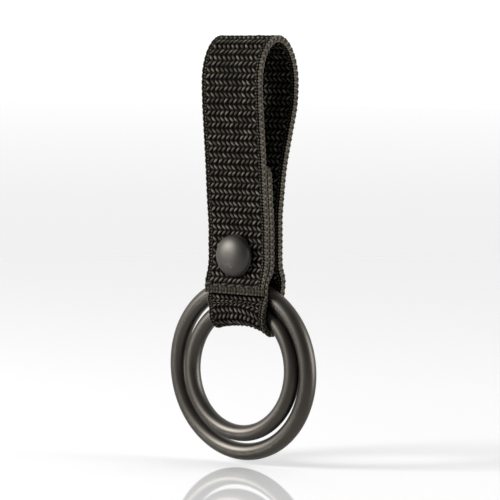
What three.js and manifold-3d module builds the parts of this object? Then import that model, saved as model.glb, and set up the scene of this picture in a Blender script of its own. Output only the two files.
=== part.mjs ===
// Double-ring belt hanger: one strip of heavy webbing folded into a belt loop at
// the top and a ring loop at the bottom, closed by a press snap, carrying two
// plain round rings, the small one nested inside the large one.
//
// Units are millimetres. +Z is up, the front faces -Y and the strip's width runs
// along X. The origin is the middle of the seat where the belt's top edge bears:
// the underside of the top fold.

import * as THREE from "three";
import { mergeVertices } from "three/addons/utils/BufferGeometryUtils.js";
import Module from "manifold-3d";

const wasm = await Module();
wasm.setup();

// ---- driving dimensions -------------------------------------------------------

const WEB_WIDTH = 25.4;
const WEB_THICKNESS = 2.5;
const SQUEEZED = 1.6; // one layer under the stitching
const PIECE_GAP = 0.3; // between layers, and between the strip's split sections

const RING_DROP = 111.2; // belt seat down to the rings' common centre
const RING_OFFSET_X = -1.5; // the rings hang off the strip's middle
const SMALL_RING_SHIFT = 0.45; // the small ring hangs this much nearer the middle
const SMALL_RING_PIVOT = 19.4; // height about which the small ring leans
const SMALL_RING_LEAN = THREE.MathUtils.degToRad(-3.4); // its foot rests forward
const LARGE_RING_BORE = 50.8;
const LARGE_RING_WIRE = 5.8;
const SMALL_RING_BORE = 38.0;
const SMALL_RING_WIRE = 5.5;

// Heights above the rings' centre.
const CUT_END = 25.5;
const STITCH = 29.3;
const SNAP = 39.3;
const INNER_END = 70;
const TOP_FOLD_SPRING = 98; // where the top fold starts to turn over
const TOP = 113.8;
const BOTTOM_FOLD_CENTRE = 16.1;
const MOVING_LOW = 33.6; // the back section that pulls away when the snap opens
const MOVING_HIGH = 59.8;
const SEAT_SKIM = 0.02; // the eyelet's seat clears the flat of the back panel by this

const TOP_FOLD_MIDDLE_Y = 1.75;
const TOP_FOLD_DEPTH = 20.3; // outside, front to back
const WIRE_ROOM = 3.2; // half the space between the ring loop's two walls
const BACK_INNER_FACE = 0.7; // front of the back panel at the snap
const BACK_OUTER_FACE = BACK_INNER_FACE + WEB_THICKNESS;
const FRONT_OUTER_FACE = BACK_INNER_FACE - 2 * PIECE_GAP - 2 * WEB_THICKNESS;

const CAP_DIAMETER = 14.6;
const CAP_HEIGHT = 4.3;
const CAP_SIDE = 1.6; // height of the cap's rolled side, under its dome
const POST_RADIUS = 2.2;
const POST_HOLE_RADIUS = 2.6;
const SOCKET_RADIUS = 6.2;
const SOCKET_BORE_RADIUS = 3.3;
const SPRING_WIRE_RADIUS = 0.3;
const STUD_RADIUS = 5.0;
const NIPPLE_RADIUS = 2.75;
const EYELET_RADIUS = 5.5;

const TURN_SEGMENTS = 40;

const up = (height) => height - RING_DROP;

// ---- materials ------------------------------------------------------------------

const webbingMaterial = new THREE.MeshStandardMaterial({
  color: 0x2b2a26,
  roughness: 0.85,
  metalness: 0.0,
});
const threadMaterial = new THREE.MeshStandardMaterial({
  color: 0x33312c,
  roughness: 0.7,
  metalness: 0.0,
});
const gunmetalMaterial = new THREE.MeshStandardMaterial({
  color: 0x4a4845,
  roughness: 0.4,
  metalness: 0.9,
});
const springMaterial = new THREE.MeshStandardMaterial({
  color: 0xb0a890,
  roughness: 0.35,
  metalness: 1.0,
});

// ---- solids ---------------------------------------------------------------------

function toSolid(geometry) {
  const bare = geometry.index ? geometry.toNonIndexed() : geometry.clone();
  bare.deleteAttribute("normal");
  bare.deleteAttribute("uv");
  const merged = mergeVertices(bare, 1e-4);
  return new wasm.Manifold(
    new wasm.Mesh({
      numProp: 3,
      vertProperties: new Float32Array(merged.attributes.position.array),
      triVerts: new Uint32Array(merged.index.array),
    }),
  );
}

function toGeometry(solid) {
  const mesh = solid.getMesh();
  const geometry = new THREE.BufferGeometry();
  const positions = new Float32Array(mesh.vertProperties);
  geometry.setAttribute("position", new THREE.BufferAttribute(positions, 3));
  geometry.setIndex(new THREE.BufferAttribute(new Uint32Array(mesh.triVerts), 1));
  geometry.computeVertexNormals();
  return geometry;
}

function boxSolid(low, high) {
  const size = high.map((value, axis) => value - low[axis]);
  const geometry = new THREE.BoxGeometry(...size);
  const middle = high.map((value, axis) => (value + low[axis]) / 2);
  geometry.translate(...middle);
  return toSolid(geometry);
}

// A turned shape whose axis runs along Y through the snap. The profile is a list
// of [radius, y] points, front to back along the outside, and starts and ends on
// the axis or closes on itself.
function turned(profile) {
  const points = profile.map(([radius, y]) => new THREE.Vector2(radius, y));
  const geometry = new THREE.LatheGeometry(points, TURN_SEGMENTS);
  geometry.translate(0, 0, up(SNAP));
  return geometry;
}

function plugSolid(radius, frontY, backY) {
  const geometry = new THREE.CylinderGeometry(radius, radius, backY - frontY, TURN_SEGMENTS);
  geometry.translate(0, (frontY + backY) / 2, 0);
  geometry.translate(0, 0, up(SNAP));
  return toSolid(geometry);
}

// ---- the strip's path -------------------------------------------------------------

// Each station is [y, height above the rings' centre, thickness], along the middle
// of the strip's thickness.
function innerLayer() {
  const frontOfLoop = -(WIRE_ROOM + WEB_THICKNESS / 2);
  const layer = WEB_THICKNESS;
  const atSnap = FRONT_OUTER_FACE + 1.5 * layer + PIECE_GAP;
  const squeezedY = -(WIRE_ROOM + SQUEEZED / 2);
  return [
    [atSnap - 1.6, INNER_END, layer],
    [atSnap - 0.8, 58, layer],
    [atSnap, 49, layer],
    [atSnap, 43, layer],
    [atSnap, 37, layer],
    [atSnap - 0.75, 33.6, 2.2],
    [squeezedY + 0.5, 30.7, 1.7],
    [squeezedY, 28.3, SQUEEZED],
    [squeezedY - 0.05, 26.2, SQUEEZED],
    [frontOfLoop, 23.2, layer],
    [frontOfLoop, 20.5, layer],
  ];
}

function bottomFold() {
  const radius = WIRE_ROOM + WEB_THICKNESS / 2;
  const steps = 10;
  const stations = [];
  for (let step = 0; step <= steps; step += 1) {
    const angle = Math.PI + (Math.PI * step) / steps;
    const y = radius * Math.cos(angle);
    const height = BOTTOM_FOLD_CENTRE + radius * Math.sin(angle);
    stations.push([y, height, WEB_THICKNESS]);
  }
  return stations;
}

function backPanel() {
  const backOfLoop = WIRE_ROOM + WEB_THICKNESS / 2;
  const atSnap = BACK_INNER_FACE + WEB_THICKNESS / 2;
  return [
    [backOfLoop, 21, WEB_THICKNESS],
    [backOfLoop, 28.4, WEB_THICKNESS],
    [backOfLoop - 0.65, 31.4, WEB_THICKNESS],
    [atSnap + 0.35, 34.8, WEB_THICKNESS],
    [atSnap, 37.7, WEB_THICKNESS],
    [atSnap, 42.5, WEB_THICKNESS],
    [atSnap, 51, WEB_THICKNESS],
    [atSnap, 52.5, WEB_THICKNESS],
    [atSnap + 0.8, 59, WEB_THICKNESS],
    [atSnap + 2.3, 69, WEB_THICKNESS],
    [atSnap + 5.6, 81, WEB_THICKNESS],
    [atSnap + 8.1, 90, WEB_THICKNESS],
  ];
}

function topFold() {
  const halfDepth = (TOP_FOLD_DEPTH - WEB_THICKNESS) / 2;
  const rise = TOP - WEB_THICKNESS / 2 - TOP_FOLD_SPRING;
  const steps = 12;
  const stations = [];
  for (let step = 0; step <= steps; step += 1) {
    const angle = (Math.PI * step) / steps;
    const y = TOP_FOLD_MIDDLE_Y + halfDepth * Math.cos(angle);
    const height = TOP_FOLD_SPRING + rise * Math.sin(angle);
    stations.push([y, height, WEB_THICKNESS]);
  }
  return stations;
}

function frontStrap() {
  const atSnap = FRONT_OUTER_FACE + WEB_THICKNESS / 2;
  const squeezedY = -(WIRE_ROOM + 1.5 * SQUEEZED + PIECE_GAP);
  return [
    [atSnap - 3.3, 91, WEB_THICKNESS],
    [atSnap - 2.6, 82, WEB_THICKNESS],
    [atSnap - 1.6, 70, WEB_THICKNESS],
    [atSnap - 0.8, 58, WEB_THICKNESS],
    [atSnap, 49, WEB_THICKNESS],
    [atSnap, 43, WEB_THICKNESS],
    [atSnap, 37, WEB_THICKNESS],
    [atSnap - 0.7, 33.8, 2.2],
    [squeezedY + 0.4, 31, 1.7],
    [squeezedY, STITCH, SQUEEZED],
    [squeezedY, CUT_END, SQUEEZED],
  ];
}

// Curve through the stations, sampled at even steps.
function sampled(stations) {
  const points = stations.map((station) => new THREE.Vector3(...station));
  const curve = new THREE.CatmullRomCurve3(points, false, "centripetal");
  return curve.getSpacedPoints(Math.round(curve.getLength() / 1.6));
}

// The strip between two sampled ends, as a solid: the path offset by half the
// thickness on each side, pushed through the width.
function strip(path) {
  const left = [];
  const right = [];
  path.forEach((point, index) => {
    const before = path[Math.max(index - 1, 0)];
    const after = path[Math.min(index + 1, path.length - 1)];
    const along = new THREE.Vector2(after.x - before.x, after.y - before.y).normalize();
    const half = point.z / 2;
    left.push(new THREE.Vector2(point.x - along.y * half, up(point.y + along.x * half)));
    right.push(new THREE.Vector2(point.x + along.y * half, up(point.y - along.x * half)));
  });
  const shape = new THREE.Shape(left.concat(right.reverse()));
  const geometry = new THREE.ExtrudeGeometry(shape, { depth: WEB_WIDTH, bevelEnabled: false });
  const alongY = new THREE.Vector3(0, 1, 0);
  const alongZ = new THREE.Vector3(0, 0, 1);
  const alongX = new THREE.Vector3(1, 0, 0);
  geometry.applyMatrix4(new THREE.Matrix4().makeBasis(alongY, alongZ, alongX));
  geometry.translate(-WEB_WIDTH / 2, 0, 0);
  return toSolid(geometry);
}

const lowerPath = sampled([...innerLayer(), ...bottomFold(), ...backPanel().slice(0, 5)]);
const backPath = sampled(backPanel());
const upperPath = sampled([...backPanel().slice(6), ...topFold(), ...frontStrap()]);

const FAR = 40;
const betweenLayers = BACK_INNER_FACE - PIECE_GAP / 2;

// ---- webbing sections ---------------------------------------------------------------

function webbingRingLoop() {
  const cutAway = boxSolid([-FAR, betweenLayers, up(MOVING_LOW - PIECE_GAP)], [FAR, FAR, up(TOP)]);
  const socketPocket = plugSolid(SOCKET_RADIUS + PIECE_GAP, BACK_INNER_FACE - 1.9, betweenLayers);
  const postHole = plugSolid(POST_HOLE_RADIUS, -FAR, betweenLayers);
  const solid = strip(lowerPath).subtract(cutAway).subtract(socketPocket).subtract(postHole);
  return toGeometry(solid);
}

function webbingBackPanel() {
  const kept = boxSolid([-FAR, -FAR, up(MOVING_LOW)], [FAR, FAR, up(MOVING_HIGH)]);
  const studPocket = plugSolid(STUD_RADIUS + PIECE_GAP, BACK_INNER_FACE - 1, BACK_INNER_FACE + 1.2);
  const shankHole = plugSolid(POST_HOLE_RADIUS, BACK_INNER_FACE, FAR);
  const eyeletSeat = plugSolid(EYELET_RADIUS + PIECE_GAP, BACK_OUTER_FACE + SEAT_SKIM, FAR);
  const panel = strip(backPath).intersect(kept);
  return toGeometry(panel.subtract(studPocket).subtract(shankHole).subtract(eyeletSeat));
}

function webbingFront() {
  const cutAway = boxSolid([-FAR, betweenLayers, up(0)], [FAR, FAR, up(MOVING_HIGH + PIECE_GAP)]);
  const capSeat = plugSolid(CAP_DIAMETER / 2 + PIECE_GAP, -FAR, FRONT_OUTER_FACE);
  const postHole = plugSolid(POST_HOLE_RADIUS, -FAR, 0);
  return toGeometry(strip(upperPath).subtract(cutAway).subtract(capSeat).subtract(postHole));
}

// One row of lock stitches: a flat strand with a raised dash for each stitch.
function stitchThread() {
  const pitch = 3.5;
  const dashLength = 2.2;
  const count = 7;
  const surface = -(WIRE_ROOM + 2 * SQUEEZED + PIECE_GAP) - PIECE_GAP;
  const halfRun = ((count - 1) * pitch + dashLength) / 2;
  const strandHigh = 0.3;
  const strandDeep = 0.3;
  const dashHigh = 0.8;
  const dashDeep = 0.7;
  const middle = up(STITCH);
  let solid = boxSolid(
    [-halfRun, surface - strandDeep, middle - strandHigh / 2],
    [halfRun, surface, middle + strandHigh / 2],
  );
  for (let index = 0; index < count; index += 1) {
    const x = (index - (count - 1) / 2) * pitch;
    const low = [x - dashLength / 2, surface - dashDeep, middle - dashHigh / 2];
    const high = [x + dashLength / 2, surface, middle + dashHigh / 2];
    solid = solid.add(boxSolid(low, high));
  }
  return toGeometry(solid);
}

// ---- press snap -----------------------------------------------------------------------

// Domed cap with a rounded rim and a post through the two front layers.
function snapCap() {
  const rim = FRONT_OUTER_FACE - PIECE_GAP;
  const radius = CAP_DIAMETER / 2;
  const edge = 0.5;
  const rise = CAP_HEIGHT - CAP_SIDE;
  const postEnd = BACK_INNER_FACE - 2.2;
  const steps = 7;
  const profile = [];
  for (let step = 0; step <= steps; step += 1) {
    const angle = (Math.PI / 2) * (step / steps);
    profile.push([radius * Math.sin(angle), rim - CAP_SIDE - rise * Math.cos(angle)]);
  }
  profile.push([radius, rim - edge], [radius - edge, rim]);
  profile.push([POST_RADIUS, rim], [POST_RADIUS, postEnd], [0, postEnd]);
  return turned(profile);
}

// Ring with a groove inside for the spring, sunk in the back of the inner layer.
function snapSocket() {
  const back = BACK_INNER_FACE - 0.1;
  const front = BACK_INNER_FACE - 1.6;
  const groove = SOCKET_BORE_RADIUS + 0.9;
  return turned([
    [SOCKET_BORE_RADIUS, back],
    [SOCKET_BORE_RADIUS, back - 0.25],
    [groove, back - 0.25],
    [groove, back - 1.2],
    [SOCKET_BORE_RADIUS, back - 1.2],
    [SOCKET_BORE_RADIUS, front],
    [SOCKET_RADIUS - 0.3, front],
    [SOCKET_RADIUS, front + 0.3],
    [SOCKET_RADIUS, back - 0.3],
    [SOCKET_RADIUS - 0.3, back],
    [SOCKET_BORE_RADIUS, back],
  ]);
}

// Open ring of spring wire in the socket's groove.
function snapSocketSpring() {
  const radius = SOCKET_BORE_RADIUS + 0.1 + SPRING_WIRE_RADIUS;
  const opening = 0.5;
  class OpenRing extends THREE.Curve {
    getPoint(fraction, target = new THREE.Vector3()) {
      const angle = opening + (2 * Math.PI - 2 * opening) * fraction;
      const y = BACK_INNER_FACE - 0.82;
      return target.set(radius * Math.cos(angle), y, up(SNAP) + radius * Math.sin(angle));
    }
  }
  const section = new THREE.Shape();
  section.absarc(0, 0, SPRING_WIRE_RADIUS, 0, 2 * Math.PI);
  return new THREE.ExtrudeGeometry(section, {
    steps: TURN_SEGMENTS,
    extrudePath: new OpenRing(),
    curveSegments: 8,
  });
}

// Disc on the front of the back panel whose nipple enters the socket.
function snapStud() {
  const base = BACK_INNER_FACE + 0.9;
  const disc = BACK_INNER_FACE + 0.1;
  const tip = BACK_INNER_FACE - 1.15;
  return turned([
    [0, tip],
    [NIPPLE_RADIUS - 0.7, tip],
    [NIPPLE_RADIUS, tip + 0.4],
    [NIPPLE_RADIUS - 0.35, tip + 0.9],
    [NIPPLE_RADIUS - 0.35, disc],
    [STUD_RADIUS - 0.3, disc],
    [STUD_RADIUS, disc + 0.3],
    [STUD_RADIUS, base],
    [0, base],
  ]);
}

// Flanged eyelet on the back face, its shank clenched through the back panel.
function snapEyelet() {
  const shankEnd = BACK_INNER_FACE + 1.5;
  const face = BACK_OUTER_FACE + PIECE_GAP;
  const flange = 1.0;
  return turned([
    [0, shankEnd],
    [POST_RADIUS, shankEnd],
    [POST_RADIUS, face],
    [EYELET_RADIUS - 0.4, face],
    [EYELET_RADIUS, face + 0.4],
    [EYELET_RADIUS - 0.6, face + 0.8],
    [POST_RADIUS, face + flange],
    [POST_RADIUS * 0.5, face + flange * 0.5],
    [0, face + flange * 0.45],
  ]);
}

// ---- rings ---------------------------------------------------------------------------

function ring(bore, wire, middleX) {
  const radius = (bore + wire) / 2;
  const geometry = new THREE.TorusGeometry(radius, wire / 2, 16, 72);
  geometry.rotateX(Math.PI / 2);
  geometry.translate(middleX, 0, up(0));
  return geometry;
}

function smallRing() {
  const middleX = RING_OFFSET_X + SMALL_RING_SHIFT;
  const geometry = ring(SMALL_RING_BORE, SMALL_RING_WIRE, middleX);
  geometry.translate(0, 0, -up(SMALL_RING_PIVOT));
  geometry.rotateX(SMALL_RING_LEAN);
  geometry.translate(0, 0, up(SMALL_RING_PIVOT));
  return geometry;
}

// ---- assembly ---------------------------------------------------------------------------

const hanger = new THREE.Group();

function addPart(name, geometry, material) {
  const mesh = new THREE.Mesh(geometry, material);
  mesh.name = name;
  hanger.add(mesh);
}

addPart("webbing_front", webbingFront(), webbingMaterial);
addPart("webbing_ring_loop", webbingRingLoop(), webbingMaterial);
addPart("webbing_back_panel", webbingBackPanel(), webbingMaterial);
addPart("stitch_thread", stitchThread(), threadMaterial);
addPart("snap_cap", snapCap(), gunmetalMaterial);
addPart("snap_socket", snapSocket(), gunmetalMaterial);
addPart("snap_socket_spring", snapSocketSpring(), springMaterial);
addPart("snap_stud", snapStud(), gunmetalMaterial);
addPart("snap_eyelet", snapEyelet(), gunmetalMaterial);
addPart("large_ring", ring(LARGE_RING_BORE, LARGE_RING_WIRE, RING_OFFSET_X), gunmetalMaterial);
addPart("small_ring", smallRing(), gunmetalMaterial);

export default hanger;
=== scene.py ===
"""Looks for the double-ring belt hanger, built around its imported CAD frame."""

import math

import bpy
import numpy as np
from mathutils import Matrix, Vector


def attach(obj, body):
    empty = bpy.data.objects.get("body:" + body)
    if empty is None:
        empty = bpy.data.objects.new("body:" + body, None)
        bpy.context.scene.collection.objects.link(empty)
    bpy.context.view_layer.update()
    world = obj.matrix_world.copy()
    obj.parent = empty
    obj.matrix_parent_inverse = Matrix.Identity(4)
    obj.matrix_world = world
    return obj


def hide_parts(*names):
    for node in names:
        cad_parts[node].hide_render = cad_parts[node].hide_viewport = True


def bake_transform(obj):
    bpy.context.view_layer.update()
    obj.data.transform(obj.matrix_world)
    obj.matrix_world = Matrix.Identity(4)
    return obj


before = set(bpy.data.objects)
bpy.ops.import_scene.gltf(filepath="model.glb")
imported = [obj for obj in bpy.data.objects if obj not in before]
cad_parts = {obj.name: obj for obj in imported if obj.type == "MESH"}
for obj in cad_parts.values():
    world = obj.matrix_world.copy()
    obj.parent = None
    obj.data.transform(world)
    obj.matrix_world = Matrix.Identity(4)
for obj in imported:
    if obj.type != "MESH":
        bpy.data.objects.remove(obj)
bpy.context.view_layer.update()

MM = 0.001
SEED = 7

# ---- sizes, in millimetres: the CAD's, unless a comment says otherwise -------------------------

RING_DROP = 111.2  # belt seat, the origin, down to the rings' centre
RING_X = -1.5  # both rings hang a little to one side
SMALL_RING_SHIFT = 0.75  # 0.45 in the CAD
SMALL_RING_PIVOT = 19.4
SMALL_RING_LEAN = math.radians(-3.4)
WEB_WIDTH = 25.4
WEB_THICKNESS = 2.5
SQUEEZED = 1.6  # one layer under the stitching
GAP = 0.3
WIRE_ROOM = 3.2  # half the space between the ring loop's walls
BACK_INNER_FACE = 0.7
FRONT_OUTER_FACE = BACK_INNER_FACE - 2 * GAP - 2 * WEB_THICKNESS
BACK_OUTER_FACE = BACK_INNER_FACE + WEB_THICKNESS
INNER_END = 70
CUT_END = 26.2  # 25.5 in the CAD
STITCH = 29.3
SNAP = 39.3
BOTTOM_FOLD_CENTRE = 16.1
TOP_FOLD_SPRING = 98
TOP_FOLD_MIDDLE_Y = 1.75
TOP_FOLD_DEPTH = 20.3
TOP = 113.8
LARGE_RING = (28.35, 2.95)  # centre-line radius, wire radius; 28.3 and 2.9 in the CAD
SMALL_RING = (21.75, 2.75)


def up(height):
    """Height above the rings' centre, as Z in millimetres."""
    return height - RING_DROP


# ---- camera ------------------------------------------------------------------------------------

AZIMUTH = math.radians(38.9)
PITCH = math.radians(4.57)
FOCAL_PIXELS = 2600.0
FRAME_PIXELS = 500.0
SENSOR = 36.0
RING_IN_VIEW = (-2.75, 40.65, 888.5)  # rings' centre: right, down and ahead of the camera


def make_camera():
    sin_a, cos_a = math.sin(AZIMUTH), math.cos(AZIMUTH)
    sin_p, cos_p = math.sin(PITCH), math.cos(PITCH)
    right = Vector((cos_a, sin_a, 0))
    ahead = Vector((-sin_a * cos_p, cos_a * cos_p, -sin_p))
    down = Vector((sin_a * sin_p, -cos_a * sin_p, -cos_p))
    centre = Vector((RING_X, 0, up(0)))
    across, below, away = RING_IN_VIEW
    place = centre - right * across - down * below - ahead * away
    data = bpy.data.cameras.new("camera")
    data.sensor_width = SENSOR
    data.lens = SENSOR * FOCAL_PIXELS / FRAME_PIXELS
    data.clip_start = 0.01
    data.clip_end = 20
    camera = bpy.data.objects.new("camera", data)
    camera.location = place * MM
    camera.rotation_euler = ahead.to_track_quat("-Z", "Y").to_euler()
    bpy.context.collection.objects.link(camera)
    bpy.context.scene.camera = camera


# ---- mesh helpers ------------------------------------------------------------------------------


def mesh_object(name, vertices, faces, material):
    """A smooth-shaded object from vertices in millimetres."""
    mesh = bpy.data.meshes.new(name)
    mesh.from_pydata((np.asarray(vertices, float) * MM).tolist(), [], faces)
    mesh.validate()
    mesh.polygons.foreach_set("use_smooth", [True] * len(mesh.polygons))
    mesh.materials.append(material)
    mesh.update()
    piece = bpy.data.objects.new(name, mesh)
    bpy.context.collection.objects.link(piece)
    return piece


def grid_faces(rows, columns, wrap_rows=False):
    """Quads of a grid whose columns wrap round."""
    faces = []
    last = rows if wrap_rows else rows - 1
    for row in range(last):
        here = row * columns
        there = ((row + 1) % rows) * columns
        for column in range(columns):
            beside = (column + 1) % columns
            faces.append((here + column, there + column, there + beside, here + beside))
    return faces


def lathe(name, profile, material, segments=96):
    """A shape turned about the snap's axis, from [radius, y] points, front to back."""
    vertices = []
    faces = []
    rings = []
    for radius, y in profile:
        first = len(vertices)
        if radius < 1e-6:
            vertices.append((0, y, up(SNAP)))
            rings.append([first] * segments)
            continue
        for step in range(segments):
            angle = 2 * math.pi * step / segments
            vertices.append((radius * math.cos(angle), y, up(SNAP) + radius * math.sin(angle)))
        rings.append(list(range(first, first + segments)))
    closed = profile[0] == profile[-1]
    pairs = list(zip(rings[:-1], rings[1:]))
    if closed:
        pairs[-1] = (rings[-2], rings[0])
    for low, high in pairs:
        for step in range(segments):
            beside = (step + 1) % segments
            corners = [low[step], high[step], high[beside], low[beside]]
            face = list(dict.fromkeys(corners))
            if len(face) > 2:
                faces.append(face)
    if closed:
        vertices = vertices[:-segments]
    return mesh_object(name, vertices, faces, material)


def rounded(profile, steps=4, share=0.35):
    """A profile with each inner corner rounded by a short curve."""
    out = [profile[0]]
    for before, corner, after in zip(profile, profile[1:], profile[2:]):
        start = [corner[k] + (before[k] - corner[k]) * share for k in (0, 1)]
        end = [corner[k] + (after[k] - corner[k]) * share for k in (0, 1)]
        for step in range(steps + 1):
            t = step / steps
            weights = ((1 - t) ** 2, 2 * t * (1 - t), t**2)
            point = [weights[0] * start[k] + weights[1] * corner[k] + weights[2] * end[k] for k in (0, 1)]
            out.append(tuple(point))
    out.append(profile[-1])
    return out


def tube(points, radius, sides=8):
    """Vertices and faces of a closed round tube along points."""
    points = np.asarray(points, float)
    tangents = np.gradient(points, axis=0)
    tangents /= np.linalg.norm(tangents, axis=1)[:, None]
    helper = np.array([0.13, 0.2, 0.97])
    first = np.cross(tangents, helper)
    first /= np.linalg.norm(first, axis=1)[:, None]
    second = np.cross(tangents, first)
    vertices = []
    for point, one, two in zip(points, first, second):
        for side in range(sides):
            angle = 2 * math.pi * side / sides
            vertices.append(point + radius * (one * math.cos(angle) + two * math.sin(angle)))
    faces = grid_faces(len(points), sides)
    faces.append(tuple(range(sides)))
    last = (len(points) - 1) * sides
    faces.append(tuple(reversed(range(last, last + sides))))
    return vertices, faces


def merge(parts):
    """One vertex and face list from several."""
    vertices = []
    faces = []
    for part_vertices, part_faces in parts:
        first = len(vertices)
        vertices.extend(part_vertices)
        faces.extend(tuple(index + first for index in face) for face in part_faces)
    return vertices, faces


# ---- materials ---------------------------------------------------------------------------------


class Shader:
    """A node material with short calls for the nodes used here."""

    def __init__(self, name):
        self.material = bpy.data.materials.new(name)
        self.material.use_nodes = True
        self.tree = self.material.node_tree
        self.bsdf = self.tree.nodes["Principled BSDF"]

    def add(self, kind, **values):
        node = self.tree.nodes.new(kind)
        for key, value in values.items():
            setattr(node, key, value)
        return node

    def link(self, source, target):
        self.tree.links.new(source, target)

    def attribute(self, name):
        return self.add("ShaderNodeAttribute", attribute_name=name)

    def noise(self, scale, detail=3.0):
        node = self.add("ShaderNodeTexNoise")
        node.inputs["Scale"].default_value = scale
        node.inputs["Detail"].default_value = detail
        place = self.add("ShaderNodeTexCoord").outputs["Object"]
        self.link(place, node.inputs["Vector"])
        return node.outputs["Fac"]

    def ramp(self, source, stops):
        node = self.add("ShaderNodeValToRGB")
        elements = node.color_ramp.elements
        while len(elements) < len(stops):
            elements.new(0.5)
        for element, (position, colour) in zip(elements, stops):
            element.position = position
            element.color = (*colour, 1)
        self.link(source, node.inputs["Fac"])
        return node.outputs["Color"]

    def span(self, source, low, high, to_low, to_high):
        node = self.add("ShaderNodeMapRange")
        for socket, value in zip(node.inputs[1:5], (low, high, to_low, to_high)):
            socket.default_value = value
        self.link(source, node.inputs["Value"])
        return node.outputs["Result"]

    def multiply_colours(self, one, two):
        node = self.add("ShaderNodeMix", data_type="RGBA", blend_type="MULTIPLY")
        node.inputs[0].default_value = 1.0
        self.link(one, node.inputs[6])
        self.link(two, node.inputs[7])
        return node.outputs[2]

    def maths(self, operation, one, two):
        node = self.add("ShaderNodeMath", operation=operation)
        for socket, value in zip(node.inputs, (one, two)):
            if isinstance(value, (int, float)):
                socket.default_value = value
            else:
                self.link(value, socket)
        return node.outputs[0]

    def bump(self, height, strength, distance):
        node = self.add("ShaderNodeBump")
        node.inputs["Strength"].default_value = strength
        node.inputs["Distance"].default_value = distance
        self.link(height, node.inputs["Height"])
        self.link(node.outputs["Normal"], self.bsdf.inputs["Normal"])


WEAVE_SHADE_AND_HIGHLIGHT_TONES = [
    (0.22, (0.0006, 0.0005, 0.0004)),
    (0.42, (0.0105, 0.0095, 0.0074)),
    (0.7, (0.042, 0.038, 0.0306)),
    (1.0, (0.15, 0.1355, 0.11)),
]  # colour by height: painted shade darkening the gaps, the yarn's own dark olive between, a painted highlight lightening the knuckle tops
PATCH_TONES = [(0.3, (0.72, 0.72, 0.74)), (0.7, (1.12, 1.1, 1.04))]
THREAD_TONES = [(0.3, (0.03, 0.0272, 0.0223)), (0.7, (0.085, 0.077, 0.063))]

# Dark and light tint, lowest and highest roughness, and the strength of the grain.
GUNMETAL = ((0.056, 0.051, 0.0443), (0.067, 0.0615, 0.0537), 0.4, 0.45, 0.04)
CAP_PLATING = ((0.062, 0.0577, 0.0515), (0.07, 0.0653, 0.0588), 0.49, 0.54, 0.04)
SPRING_BRONZE = ((0.5, 0.42, 0.25), (0.62, 0.53, 0.34), 0.2, 0.35, 0.12)


def webbing_material():
    shader = Shader("webbing_nylon")
    relief = shader.attribute("weave_height").outputs["Fac"]
    cords = shader.attribute("weave_place").outputs["Vector"]
    # painted shade in the weave's low places and a painted highlight on its knuckle tops, read from the
    # relief height
    yarn_with_painted_shade = shader.ramp(relief, WEAVE_SHADE_AND_HIGHLIGHT_TONES)
    patches = shader.ramp(shader.noise(260.0), PATCH_TONES)
    shader.link(shader.multiply_colours(yarn_with_painted_shade, patches), shader.bsdf.inputs["Base Color"])
    rough = shader.span(shader.noise(900.0), 0.3, 0.7, 0.5, 0.68)
    shader.link(rough, shader.bsdf.inputs["Roughness"])
    shader.bsdf.inputs["Specular IOR Level"].default_value = 0.02
    filaments = shader.add("ShaderNodeTexWave", wave_type="BANDS", bands_direction="X")
    filaments.inputs["Scale"].default_value = 1.6
    filaments.inputs["Distortion"].default_value = 1.5
    filaments.inputs["Detail"].default_value = 1.0
    shader.link(cords, filaments.inputs["Vector"])
    shader.bump(filaments.outputs["Fac"], 0.5, 0.00006)
    return shader.material


def thread_material():
    shader = Shader("bonded_thread")
    tint = shader.ramp(shader.noise(1200.0), THREAD_TONES)
    shader.link(tint, shader.bsdf.inputs["Base Color"])
    shader.bsdf.inputs["Roughness"].default_value = 0.55
    shader.bsdf.inputs["Specular IOR Level"].default_value = 0.05
    shader.bump(shader.noise(4000.0), 0.3, 0.00003)
    return shader.material


def metal_material(name, dark, light, low_rough, high_rough, grain_strength):
    """Satin plating: slow tint changes, and fine grain in the gloss and the surface."""
    shader = Shader(name)
    tint = shader.ramp(shader.noise(70.0, 5.0), [(0.3, dark), (0.7, light)])
    shader.link(tint, shader.bsdf.inputs["Base Color"])
    shader.bsdf.inputs["Metallic"].default_value = 1.0
    grain = shader.noise(2500.0, 2.0)
    clouds = shader.noise(140.0, 4.0)
    fine = shader.maths("MULTIPLY", grain, 0.35)
    coarse = shader.maths("MULTIPLY", clouds, 0.65)
    blend = shader.maths("ADD", fine, coarse)
    shader.link(shader.span(blend, 0.3, 0.7, low_rough, high_rough), shader.bsdf.inputs["Roughness"])
    shader.bump(grain, grain_strength, 0.00002)
    return shader.material


# ---- the webbing strip -------------------------------------------------------------------------


def inner_layer():
    at_snap = FRONT_OUTER_FACE + 1.5 * WEB_THICKNESS + GAP
    squeezed_y = -(WIRE_ROOM + SQUEEZED / 2)
    front_of_loop = -(WIRE_ROOM + WEB_THICKNESS / 2)
    full = WEB_THICKNESS
    return [
        (at_snap - 1.6, INNER_END, full),
        (at_snap - 0.8, 58, full),
        (at_snap, 49, full),
        (at_snap, 43, full),
        (at_snap, 37, full),
        (at_snap - 0.75, 33.6, 2.2),
        (squeezed_y + 0.5, 30.7, 1.7),
        (squeezed_y, 28.3, SQUEEZED),
        (squeezed_y - 0.05, 26.2, SQUEEZED),
        (front_of_loop, 23.2, full),
        (front_of_loop, 20.5, full),
    ]


def arc(middle_y, middle_height, half_depth, rise, start, steps):
    """Stations on a half ellipse, from angle start through half a turn."""
    stations = []
    for step in range(steps + 1):
        angle = start + math.pi * step / steps
        y = middle_y + half_depth * math.cos(angle)
        stations.append((y, middle_height + rise * math.sin(angle), WEB_THICKNESS))
    return stations


def bottom_fold():
    radius = WIRE_ROOM + WEB_THICKNESS / 2
    return arc(0, BOTTOM_FOLD_CENTRE, radius, radius, math.pi, 10)


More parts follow.
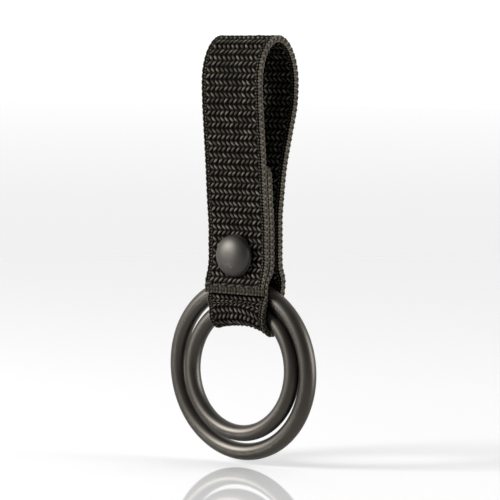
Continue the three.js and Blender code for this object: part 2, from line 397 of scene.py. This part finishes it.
def back_panel():
    back_of_loop = WIRE_ROOM + WEB_THICKNESS / 2
    at_snap = BACK_INNER_FACE + WEB_THICKNESS / 2
    places = [
        (back_of_loop, 21),
        (back_of_loop, 28.4),
        (back_of_loop - 0.65, 31.4),
        (at_snap + 0.35, 34.8),
        (at_snap, 37.7),
        (at_snap, 42.5),
        (at_snap, 51),
        (at_snap, 52.5),
        (at_snap + 0.8, 59),
        (at_snap + 2.3, 69),
        (at_snap + 5.6, 81),
        (at_snap + 8.1, 90),
    ]
    return [(y, height, WEB_THICKNESS) for y, height in places]


def top_fold():
    half_depth = (TOP_FOLD_DEPTH - WEB_THICKNESS) / 2
    rise = TOP - WEB_THICKNESS / 2 - TOP_FOLD_SPRING
    return arc(TOP_FOLD_MIDDLE_Y, TOP_FOLD_SPRING, half_depth, rise, 0.0, 12)


def front_strap():
    at_snap = FRONT_OUTER_FACE + WEB_THICKNESS / 2
    squeezed_y = -(WIRE_ROOM + 1.5 * SQUEEZED + GAP)
    full = WEB_THICKNESS
    return [
        (at_snap - 3.3, 91, full),
        (at_snap - 2.6, 82, full),
        (at_snap - 1.6, 70, full),
        (at_snap - 0.8, 58, full),
        (at_snap, 49, full),
        (at_snap, 43, full),
        (at_snap, 37, full),
        (at_snap - 0.7, 33.8, 2.2),
        (squeezed_y + 0.4, 31, 1.7),
        (squeezed_y, STITCH, SQUEEZED),
        (squeezed_y, CUT_END, SQUEEZED),
    ]


ROW_STEP = 0.19  # spacing of the mesh along and across the strip


CURVE_STEPS = 24  # samples between two stations, before they are evened out


def between(one, two, low, high, t):
    """The point at t on the line through one at low and two at high."""
    return ((high - t) * one + (t - low) * two) / (high - low)


def smooth_path(stations):
    """Centripetal Catmull-Rom curve through the stations, evenly spaced, and the
    length along it at each sample."""
    points = np.array(stations, float)
    points = np.vstack([2 * points[0] - points[1], points, 2 * points[-1] - points[-2]])
    dense = []
    for p0, p1, p2, p3 in zip(points, points[1:], points[2:], points[3:]):
        knots = [0.0]
        for one, two in ((p0, p1), (p1, p2), (p2, p3)):
            knots.append(knots[-1] + max(np.linalg.norm(two - one), 1e-6) ** 0.5)
        for t in np.linspace(knots[1], knots[2], CURVE_STEPS, endpoint=False):
            a1 = between(p0, p1, knots[0], knots[1], t)
            a2 = between(p1, p2, knots[1], knots[2], t)
            a3 = between(p2, p3, knots[2], knots[3], t)
            b1 = between(a1, a2, knots[0], knots[2], t)
            b2 = between(a2, a3, knots[1], knots[3], t)
            dense.append(between(b1, b2, knots[1], knots[2], t))
    dense.append(points[-2])
    dense = np.array(dense)
    steps = np.linalg.norm(np.diff(dense[:, :2], axis=0), axis=1)
    along = np.concatenate([[0], np.cumsum(steps)])
    even = np.arange(0, along[-1], ROW_STEP)
    return np.stack([np.interp(even, along, dense[:, k]) for k in range(3)], axis=1), even


EDGE_RADIUS = 0.5
ROW_PITCH = 2.05  # one row of weave knuckles
CORD_PITCH = 1.95  # one warp cord across
ZIGZAG = 0.85  # how far a cord leans either way within a row
FACE_RELIEF = 0.66
SELVEDGE = 2.0  # the finer weave beside each edge
BEAD_PITCH = 1.03
EDGE_RELIEF = 0.34


ARC_STEPS = 3
EDGE_STEPS = 7


def section():
    """The strip's cross-section, once round, as (x, kind, one, two, face) rows. On a
    face, x is across the strip, kind is the side and face is 1 outside or -1 inside.
    On the edges face is 0, x is the edge's sign, and one and two place the row."""
    half = WEB_WIDTH / 2 - EDGE_RADIUS
    across = np.linspace(-half, half, int(2 * half / ROW_STEP) + 1)
    rows = [(x, 1.0, 0.0, 1.0, 1) for x in across]
    turns = np.linspace(0, math.pi / 2, ARC_STEPS + 2)[1:-1]
    for sign in (1, -1):
        for angle in turns:
            rows.append((sign, "arc", math.sin(angle), math.cos(angle), 0))
        for side in np.linspace(0.48, -0.48, EDGE_STEPS):
            rows.append((sign, "edge", side, 0.0, 0))
        for angle in reversed(turns):
            rows.append((sign, "arc_back", math.sin(angle), math.cos(angle), 0))
        if sign == 1:
            rows.extend((x, -1.0, 0.0, -1.0, -1) for x in across[::-1])
    return rows, half


def section_arrays(thickness):
    """x, offset through the thickness, normal and coordinates for one row."""
    rows, half = section()
    radius = EDGE_RADIUS * min(1.0, thickness / WEB_THICKNESS)
    out = []
    flat_half = thickness / 2 - radius
    for x, kind, one, two, face in rows:
        if face != 0:
            out.append((x, kind * thickness / 2, 0.0, kind, face, 0.0))
            continue
        sign = x
        if kind == "edge":
            out.append((sign * (half + EDGE_RADIUS), sign * one * 2 * flat_half, sign, 0.0, 0, 0.0))
        else:
            lean = 1 if kind == "arc" else -1
            b = sign * lean * (flat_half + radius * two)
            out.append((sign * (half + EDGE_RADIUS * one), b, sign * one, sign * lean * two, 0, 1.0))
    return np.array(out, float)


def hash_noise(i, j, salt):
    """Repeatable noise from 0 to 1 for whole-number arrays."""
    value = np.sin(i * 12.9898 + j * 78.233 + salt * 37.719 + SEED) * 43758.5453
    return value - np.floor(value)


def weave(along, across):
    """Height of the woven face, 0 in the gaps to 1 on the knuckles. Each warp cord
    zigzags from row to row and stands proud as one knuckle in each row."""
    row = along / ROW_PITCH
    index = np.floor(row)
    within = (row - index - 0.5) * 2
    even = index % 2 == 0
    lean = np.where(even, 1.0, -1.0) * within * ZIGZAG
    column = (across + WEB_WIDTH / 2 - lean) / CORD_PITCH
    cord = np.floor(column)
    size = 0.7 + 0.3 * hash_noise(index, cord, 1)
    sway = (hash_noise(index, cord, 2) - 0.5) * 0.16
    x = (column - cord - 0.5 + sway) * 2 / 0.8
    peak = np.where(even, 0.12, -0.3)
    v = np.abs(within - peak) / np.where(within > peak, 0.95 - peak, 0.95 + peak)
    knuckle = np.sqrt(np.clip(1 - np.abs(x) ** 2 - v**2, 0, 1)) * size
    strand = 0.3 * np.sqrt(np.clip(1 - x**2, 0, 1)) * (1 - 0.5 * v)
    turn = np.where(even, within, -within)
    bar = 0.33 * np.exp(-(((turn - 1) / 0.2) ** 2))
    return np.maximum(np.maximum(knuckle, strand), bar)


def selvedge_weave(along, across):
    """Finer, uneven pips beside the edges."""
    step = 0.85
    row = along / BEAD_PITCH
    index = np.floor(row)
    column = across / step + 0.5 * (index % 2)
    cord = np.floor(column)
    x = (column - cord - 0.5) * 2
    v = (row - index - 0.5) * 2
    size = 0.75 + 0.25 * hash_noise(index, cord, 3)
    return np.sqrt(np.clip(1 - x**2 - v**2, 0, 1)) * size * 0.9 + 0.1


def face_relief(along, across):
    """The woven face with its finer borders."""
    inside = WEB_WIDTH / 2 - np.abs(across)
    share = np.clip((inside - SELVEDGE + 0.35) / 0.7, 0, 1)
    groove = 1 - 0.75 * np.exp(-(((inside - 0.95) / 0.22) ** 2))
    pips = selvedge_weave(along, across) * groove
    return weave(along, across) * share + pips * (1 - share)


def edge_relief(along, through, corner):
    """The edge: a bead chain on each corner, and between them the turns of the weft,
    each a small eye."""
    bead = 0.42 + 0.58 * np.abs(np.sin(math.pi * along / BEAD_PITCH)) ** 0.7
    turn = along / ROW_PITCH - np.floor(along / ROW_PITCH) - 0.5
    eye = np.exp(-((turn * ROW_PITCH / 0.3) ** 2) - ((through - 0.25) / 0.3) ** 2)
    seam = np.exp(-(((through + 0.45) / 0.14) ** 2))
    rib = 0.84 + 0.14 * np.cos(4 * math.pi * turn)
    return np.where(corner > 0, bead, np.clip(rib - 0.85 * eye - 0.3 * seam, 0, 1))


def strip_piece(name, path, lengths, first, last, material):
    """The stretch of the strip between two samples of the path, as a closed mesh."""
    tangent = np.gradient(path[:, :2], axis=0)
    tangent /= np.linalg.norm(tangent, axis=1)[:, None]
    total = lengths[-1]
    vertices = []
    heights = []
    places = []
    for index in range(first, last + 1):
        y, height, thickness = path[index]
        along = lengths[index]
        normal = np.array([tangent[index, 1], -tangent[index, 0]])
        cut = section_arrays(thickness)
        x, b, nx, nb, face, corner = cut.T
        squeeze = thickness / WEB_THICKNESS
        face_height = face_relief(along, np.where(face < 0, -x, x))
        relief = np.where(face != 0, face_height, edge_relief(along, b, corner))
        melt = end_melt(along, total)
        cords = np.abs(np.sin(math.pi * x / CORD_PITCH * 1.5))
        ribs = 0.3 + 0.36 * cords * (0.7 + 0.3 * math.cos(along * 5))
        ribs = ribs + 0.25 * relief
        relief = relief * (1 - melt) + ribs * melt
        depth = np.where(face != 0, FACE_RELIEF, EDGE_RELIEF) * (0.55 + 0.45 * squeeze)
        push = (relief - 1) * depth
        narrow = corner_trim(along, x)
        folded = fold_share(index, path, lengths)
        px = x * narrow * (1 - FOLD_NARROWS * folded) + nx * push
        px = px + back_skew(along, total) - scallop(along, x)
        pb = b + nb * push
        lift = fold_lift(px) * folded
        py = y + normal[0] * pb
        pz = height + normal[1] * pb + lift
        py = press_under_cap(px, py, pz, total - along)
        vertices.append(np.stack([px, py, up(0) + pz], axis=1))
        heights.append(relief)
        places.append(np.stack([x, np.full_like(x, along), np.zeros_like(x)], axis=1))
    rows = len(vertices)
    columns = len(vertices[0])
    points = np.concatenate(vertices)
    faces = grid_faces(rows, columns)
    faces.append(tuple(range(columns)))
    faces.append(tuple(reversed(range((rows - 1) * columns, rows * columns))))
    piece = mesh_object(name, points, faces, material)
    # the relief also sets the webbing's painted shade in the gaps and painted highlight on the knuckles
    relief_layer = piece.data.attributes.new("weave_height", "FLOAT", "POINT")
    relief_layer.data.foreach_set("value", np.concatenate(heights).astype(np.float32))
    place_layer = piece.data.attributes.new("weave_place", "FLOAT_VECTOR", "POINT")
    place_layer.data.foreach_set("vector", np.concatenate(places).astype(np.float32).ravel())
    return piece


SCALLOP = 0.26


def scallop(along, x):
    """The strip's outline draws in a little between one weft turn and the next."""
    share = np.clip((np.abs(x) - (WEB_WIDTH / 2 - 1.2)) / 1.2, 0, 1)
    return np.sign(x) * share * SCALLOP * (0.5 + 0.5 * math.cos(2 * math.pi * along / ROW_PITCH))


BACK_SKEW = 1.35
SKEW_STARTS = (76.0, 87.0)  # along the strip, above the ring loop
SKEW_ENDS = (73.0, 112.0)  # back from the cut end, over the top fold


def smoothstep(value, low, high):
    t = min(max((value - low) / (high - low), 0.0), 1.0)
    return t * t * (3 - 2 * t)


def back_skew(along, total):
    """The back of the strip lies a little to one side of the front."""
    return BACK_SKEW * smoothstep(along, *SKEW_STARTS) * smoothstep(total - along, *SKEW_ENDS)


MELT_LENGTH = 4.2


def end_melt(along, total):
    """1 at the strip's two hot-cut ends, fading to 0."""
    nearest = min(along, total - along)
    return 1 - smoothstep(nearest, 0.4 * MELT_LENGTH, MELT_LENGTH)


TRIM = 3.0


def corner_trim(along, x):
    """Scale across the width that rounds the inner end's corners."""
    if along >= TRIM:
        return 1.0
    short = TRIM - math.sqrt(TRIM**2 - (TRIM - along) ** 2)
    return 1 - short / (WEB_WIDTH / 2)


MIDDLE_LIFT = 4.25
FAR_DROP = 1.6
NEAR_DROP = 3.6


def fold_lift(x):
    """How far the bottom fold bows up inside the rings, less toward each edge."""
    drop = np.where(x < 0, FAR_DROP, NEAR_DROP)
    return MIDDLE_LIFT - drop * (x / (WEB_WIDTH / 2)) ** 2


FOLD_NARROWS = 0.07
FOLD_LIFT_LOW = 17.5
FOLD_LIFT_HIGH = 25.0


def fold_share(index, path, lengths):
    """1 round the bottom fold, fading to 0 up the ring loop's walls."""
    height = path[index, 1]
    if lengths[index] > LOOP_TOP_LENGTH:
        return 0.0
    return 1 - smoothstep(height, FOLD_LIFT_LOW, FOLD_LIFT_HIGH)


CAP_RADIUS = 7.3
CAP_LIP = 0.62  # radius of the rolled lip under the dome
CAP_RISE = 3.5  # stands 0.4 higher than the CAD's cap


PRESSED_LENGTH = 30  # the cap lies within this much of the cut end


def press_under_cap(px, py, pz, to_end):
    """The cap's rim sinks the front strap's face a little."""
    if to_end > PRESSED_LENGTH:
        return py
    inside = np.hypot(px, pz - SNAP) < CAP_RADIUS + 0.2
    limit = FRONT_OUTER_FACE + 0.05
    return np.where(inside & (py < limit), limit, py)


def crossing(path, height, start, stop):
    """The first sample between start and stop that reaches a height."""
    for index in range(start, stop):
        low, high = sorted((path[index, 1], path[index + 1, 1]))
        if low <= height <= high:
            return index
    raise ValueError(height)


LOOP_TOP_LENGTH = 80.0  # along the strip, past the whole ring loop

# Heights at which the strip is cut into its pieces, up the back.
SEAM_LOW = 21.5
SEAM_MIDDLE = 45.5
SEAM_HIGH = 80.0


def make_webbing():
    stations = inner_layer() + bottom_fold() + back_panel() + top_fold() + front_strap()
    path, lengths = smooth_path(stations)
    material = webbing_material()
    lowest = int(np.argmin(path[:, 1]))
    highest = int(np.argmax(path[:, 1]))
    low = crossing(path, SEAM_LOW, lowest, highest)
    middle = crossing(path, SEAM_MIDDLE, lowest, highest)
    high = crossing(path, SEAM_HIGH, lowest, highest)
    end = len(path) - 1

    loop = strip_piece("webbing_loop_and_inner_layer", path, lengths, 0, low, material)
    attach(loop, "hanger")
    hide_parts("webbing_ring_loop")

    lower = strip_piece("webbing_back_lower", path, lengths, low, middle, material)
    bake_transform(lower)
    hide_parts("webbing_back_panel")

    upper = strip_piece("webbing_back_upper", path, lengths, middle, high, material)
    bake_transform(upper)
    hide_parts("webbing_back_panel")

    front = strip_piece("webbing_front_and_top", path, lengths, high, end, material)
    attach(front, "hanger")
    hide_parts("webbing_front")


# ---- stitching ---------------------------------------------------------------------------------

STITCH_PITCH = 3.4
STITCH_COUNT = 7
STITCH_LENGTH = 2.3
STITCH_SINKS = 0.07  # each stitch lies this much deeper than the one to its left
THREAD_RADIUS = 0.24
PLIES = 3
TWIST = 0.55  # turns in a millimetre


def twisted(points, radius):
    """A thread of three plies twisted round a path."""
    points = np.asarray(points, float)
    steps = np.linalg.norm(np.diff(points, axis=0), axis=1)
    along = np.concatenate([[0], np.cumsum(steps)])
    tangents = np.gradient(points, axis=0)
    tangents /= np.linalg.norm(tangents, axis=1)[:, None]
    first = np.cross(tangents, [0.1, 0.2, 0.97])
    first /= np.linalg.norm(first, axis=1)[:, None]
    second = np.cross(tangents, first)
    parts = []
    for ply in range(PLIES):
        angle = 2 * math.pi * (along * TWIST + ply / PLIES)
        offset = first * np.cos(angle)[:, None] + second * np.sin(angle)[:, None]
        parts.append(tube(points + offset * radius * 0.75, radius * 0.8, 6))
    return parts


def make_stitches():
    """A row of twisted stitches, and the thread's turn round the left edge."""
    surface = -(WIRE_ROOM + 2 * SQUEEZED + GAP)
    parts = []
    generator = np.random.default_rng(SEED)
    for number in range(STITCH_COUNT):
        middle = (number - (STITCH_COUNT - 1) / 2) * STITCH_PITCH - 0.6
        length = STITCH_LENGTH + generator.uniform(-0.15, 0.15)
        drop = generator.uniform(-0.12, 0.12) - 0.18 * (number % 2)
        t = np.linspace(-1, 1, 23)
        x = middle + t * length / 2
        y = surface - THREAD_RADIUS * 0.9 + STITCH_SINKS * number + 1.1 * np.abs(t) ** 6
        z = up(STITCH) + drop + 0.15 * t
        parts.extend(twisted(np.stack([x, y, z], axis=1), THREAD_RADIUS))
    edge = -WEB_WIDTH / 2 + 0.4
    angle = np.linspace(-0.2, math.pi * 0.55, 20)
    wrap = np.stack(
        [
            edge + 1.1 - 1.05 * np.sin(angle + 0.25),
            surface + 1.3 - 1.42 * np.cos(angle),
            up(STITCH) - 0.55 + 0.25 * np.cos(angle),
        ],
        axis=1,
    )
    parts.extend(twisted(wrap, THREAD_RADIUS))
    vertices, faces = merge(parts)
    piece = mesh_object("stitch_row", vertices, faces, thread_material())
    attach(piece, "hanger")
    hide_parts("stitch_thread")


# ---- press snap --------------------------------------------------------------------------------


CAP_SEGMENTS = 128


def make_cap(metal):
    """The domed cap with its rolled lip, and the post through the two front layers."""
    rim = FRONT_OUTER_FACE - GAP
    radius = CAP_RADIUS
    lip = CAP_LIP
    dome_radius = radius - 0.3 * lip
    dome = []
    for step in range(25):
        reach = math.sin(math.pi / 2 * step / 24)
        rise = CAP_RISE * (1 - reach**2.4) ** 0.6
        dome.append((dome_radius * reach, rim - 2 * lip - rise))
    rolled = []
    for step in range(1, 14):
        angle = math.radians(-75 + 165 * step / 13)
        rolled.append((radius - lip + lip * math.cos(angle), rim - lip + lip * math.sin(angle)))
    post_end = BACK_INNER_FACE - 2.2
    back = [(2.2, rim), (2.2, post_end + 0.2), (2.0, post_end), (0, post_end)]
    cap = lathe("cap_with_post", dome + rolled + back, metal, CAP_SEGMENTS)
    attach(cap, "hanger")
    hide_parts("snap_cap")


def make_socket(metal):
    """The ring-shaped socket on the back of the two front layers, grooved inside."""
    bore = 3.3
    outside = 6.2
    groove = bore + 0.9
    face = BACK_INNER_FACE - 0.1
    front = BACK_INNER_FACE - 1.6
    profile = [
        (bore, face),
        (bore, face - 0.25),
        (groove, face - 0.25),
        (groove, face - 1.2),
        (bore, face - 1.2),
        (bore, front),
        (outside - 0.3, front),
        (outside, front + 0.3),
        (outside, face - 0.3),
        (outside - 0.3, face),
        (bore + 0.5, face),
        (bore, face),
    ]
    socket = lathe("socket", profile, metal)
    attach(socket, "hanger")
    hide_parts("snap_socket")


def make_spring(metal):
    """The open ring of wire in the socket's groove."""
    coil = 3.7
    opening = 0.5
    angles = np.linspace(opening, 2 * math.pi - opening, 72)
    depth = np.full_like(angles, BACK_INNER_FACE - 0.82)
    route = np.stack([coil * np.cos(angles), depth, up(SNAP) + coil * np.sin(angles)], axis=1)
    vertices, faces = tube(route, 0.29, 12)
    spring = mesh_object("socket_spring", vertices, faces, metal)
    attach(spring, "hanger")
    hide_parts("snap_socket_spring")


def make_stud(metal):
    """The stud on the front of the back panel."""
    nipple = 2.75
    disc = BACK_INNER_FACE + 0.1
    base = BACK_INNER_FACE + 0.9
    tip = BACK_INNER_FACE - 1.15
    profile = [
        (0, tip),
        (nipple - 0.7, tip),
        (nipple, tip + 0.4),
        (nipple - 0.35, tip + 0.9),
        (nipple - 0.35, disc),
        (4.7, disc),
        (5.0, disc + 0.3),
        (5.0, base),
        (0, base),
    ]
    stud = lathe("stud", rounded(profile), metal)
    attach(stud, "back_panel")
    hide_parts("snap_stud")


def make_eyelet(metal):
    """The eyelet on the back of the back panel, with its shank."""
    shank_end = BACK_INNER_FACE + 1.5
    face = BACK_OUTER_FACE + GAP - 0.25
    profile = [
        (0, shank_end),
        (2.2, shank_end),
        (2.2, face),
        (5.1, face),
        (5.5, face + 0.35),
        (4.9, face + 0.95),
        (2.6, face + 1.15),
        (1.9, face + 0.75),
        (1.6, face + 0.5),
        (0, face + 0.45),
    ]
    eyelet = lathe("eyelet", rounded(profile), metal)
    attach(eyelet, "back_panel")
    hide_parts("snap_eyelet")


def make_snap(cap_metal, metal, spring_metal):
    make_cap(cap_metal)
    make_socket(metal)
    make_spring(spring_metal)
    make_stud(metal)
    make_eyelet(metal)


# ---- rings -------------------------------------------------------------------------------------


RING_SEGMENTS = 240
WIRE_SIDES = 40


def make_ring(name, node, size, material, phase, shift=0.0, lean=0.0):
    """A closed round-wire ring with the faint flats and waves of a bent, welded rod."""
    radius, wire = size
    turn = np.linspace(0, 2 * math.pi, RING_SEGMENTS, endpoint=False)
    spin = np.linspace(0, 2 * math.pi, WIRE_SIDES, endpoint=False)
    big, small = np.meshgrid(turn, spin, indexing="ij")
    wobble = 0.02 * np.sin(3 * big + phase) + 0.012 * np.sin(7 * big + 2 * phase)
    weld = 0.1 * np.exp(-(((big - math.pi / 2 - 0.12) * radius / 0.9) ** 2))
    thick = wire - 0.02 + 0.015 * np.sin(2 * small + phase) - weld
    reach = radius + wobble + thick * np.cos(small)
    x = RING_X + shift + reach * np.cos(big)
    y = thick * np.sin(small)
    z = reach * np.sin(big) - SMALL_RING_PIVOT
    leaned_y = y * math.cos(lean) - z * math.sin(lean)
    leaned_z = y * math.sin(lean) + z * math.cos(lean) + up(SMALL_RING_PIVOT)
    vertices = np.stack([x, leaned_y, leaned_z], axis=-1).reshape(-1, 3)
    faces = grid_faces(RING_SEGMENTS, WIRE_SIDES, wrap_rows=True)
    piece = mesh_object(name, vertices, faces, material)
    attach(piece, node)
    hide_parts(node)


# ---- floor and light ---------------------------------------------------------------------------

FLOOR_GAP = 1.4  # millimetres below the rings
FLOOR_SIZE = 8  # metres
FLOOR_COLOUR = (0.58, 0.58, 0.58, 1)
FLOOR_ROUGHNESS = 0.04


def make_floor():
    radius, wire = LARGE_RING
    height = (up(0) - radius - wire - FLOOR_GAP) * MM
    bpy.ops.mesh.primitive_plane_add(size=FLOOR_SIZE, location=(0, 0, height))
    floor = bpy.context.object
    floor.name = "floor"
    shader = Shader("pale_floor")
    shader.bsdf.inputs["Base Color"].default_value = FLOOR_COLOUR
    shader.bsdf.inputs["Roughness"].default_value = FLOOR_ROUGHNESS
    floor.data.materials.append(shader.material)


def softbox(name, place, size, watts):
    data = bpy.data.lights.new(name, "AREA")
    data.shape = "RECTANGLE"
    data.size = size[0]
    data.size_y = size[1]
    data.energy = watts
    light = bpy.data.objects.new(name, data)
    light.location = place
    direction = Vector(LIGHTS_AIM) - Vector(place)
    light.rotation_euler = direction.to_track_quat("-Z", "Y").to_euler()
    bpy.context.collection.objects.link(light)


WHITE = 1.08  # strength of the world behind the object
DIM = 0.22  # and in front of it
BRIGHT_SIDE = (-math.sin(AZIMUTH), math.cos(AZIMUTH), 0.25)
FADE = (-0.25, 0.75)
LIGHTS_AIM = (0, 0, -0.07)
KEY_LIGHT = ((-0.58, -0.7, 0.3), (0.3, 0.42), 18.0)  # place and size in metres, watts
RIGHT_LIGHT = ((0.87, 0.5, 0.12), (0.5, 0.8), 14.0)


def make_light():
    """A world that fades from one side to the other, fixed in place, and two softboxes."""
    world = bpy.data.worlds.new("studio")
    world.use_nodes = True
    nodes = world.node_tree.nodes
    links = world.node_tree.links
    background = nodes["Background"]
    place = nodes.new("ShaderNodeTexCoord")
    behind = nodes.new("ShaderNodeVectorMath")
    behind.operation = "DOT_PRODUCT"
    behind.inputs[1].default_value = BRIGHT_SIDE
    fade = nodes.new("ShaderNodeMapRange")
    fade.interpolation_type = "SMOOTHSTEP"
    for socket, value in zip(fade.inputs[1:5], (*FADE, DIM, WHITE)):
        socket.default_value = value
    links.new(place.outputs["Generated"], behind.inputs[0])
    links.new(behind.outputs["Value"], fade.inputs["Value"])
    links.new(fade.outputs["Result"], background.inputs["Strength"])
    background.inputs["Color"].default_value = (1, 1, 1, 1)
    bpy.context.scene.world = world
    softbox("key", *KEY_LIGHT)
    softbox("right", *RIGHT_LIGHT)
    bpy.context.scene.view_settings.view_transform = "Standard"


def main():
    make_camera()
    make_webbing()
    make_stitches()
    dark = metal_material("gunmetal_satin", *GUNMETAL)
    cap_metal = metal_material("gunmetal_cap", *CAP_PLATING)
    spring_metal = metal_material("spring_bronze", *SPRING_BRONZE)
    make_snap(cap_metal, dark, spring_metal)
    make_ring("large_round_ring", "large_ring", LARGE_RING, dark, 0.4)
    hang = (SMALL_RING_SHIFT, SMALL_RING_LEAN)
    make_ring("small_round_ring", "small_ring", SMALL_RING, dark, 2.1, *hang)
    make_floor()
    make_light()


main()
